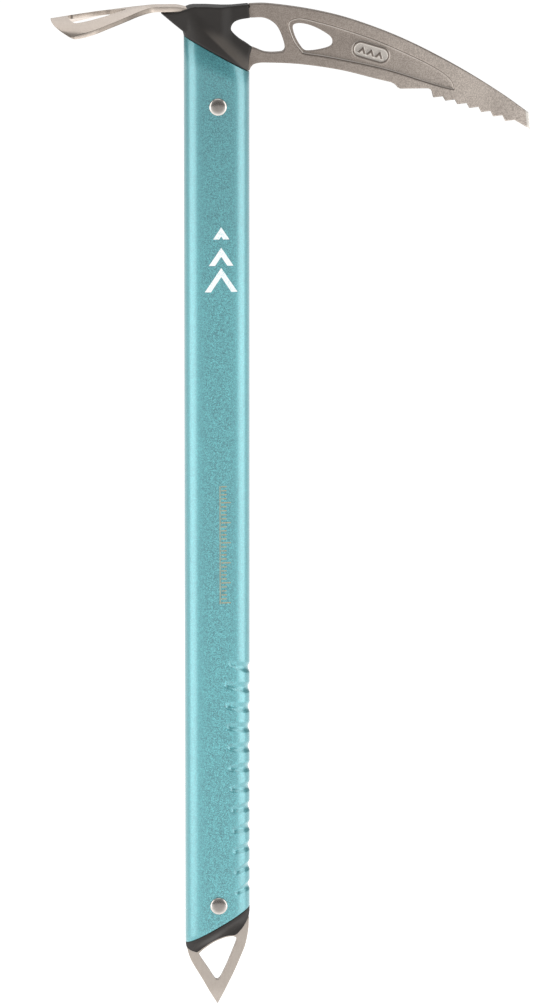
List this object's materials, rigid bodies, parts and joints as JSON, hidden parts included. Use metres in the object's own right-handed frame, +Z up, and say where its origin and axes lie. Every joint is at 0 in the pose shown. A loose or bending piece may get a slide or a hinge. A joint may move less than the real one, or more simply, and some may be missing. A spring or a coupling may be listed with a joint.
{
  "type": "ice axe",
  "caption": "Straight-shafted ice axe: toothed steel pick and sheet adze on an oval aluminium shaft with grip grooves, moulded head cover and a plate spike.",
  "frame": {"origin": "centre of the carabiner hole in the head, on the middle plane", "axes": "+Z up the shaft towards the head, +X towards the pick's point, Y across the thickness"},
  "size_m": [0.2335, 0.0616, 0.4999],
  "materials": {
    "shaft_paint": "metallic turquoise lacquer, satin gloss",
    "forged_steel": "matte, shot-blasted forging",
    "sheet_steel": "fine brushed lines",
    "plate_steel": "satin, tumbled edges",
    "rivet_steel": "pressed and polished domes",
    "black_moulding": "matte, fine grain",
    "filler_moulding": "plain moulded"
  },
  "bodies": {
    "root": {"shaft": "shaft_paint", "pick": "forged_steel", "adze": "sheet_steel", "head_cover": "black_moulding", "head_rivet": "rivet_steel", "adze_rivet_front": "rivet_steel", "adze_rivet_rear": "rivet_steel", "tang_shim_left": "filler_moulding", "tang_shim_right": "filler_moulding", "spike": "plate_steel", "spike_plug": "black_moulding", "spike_rivet": "rivet_steel"}
  },
  "joints": []
}
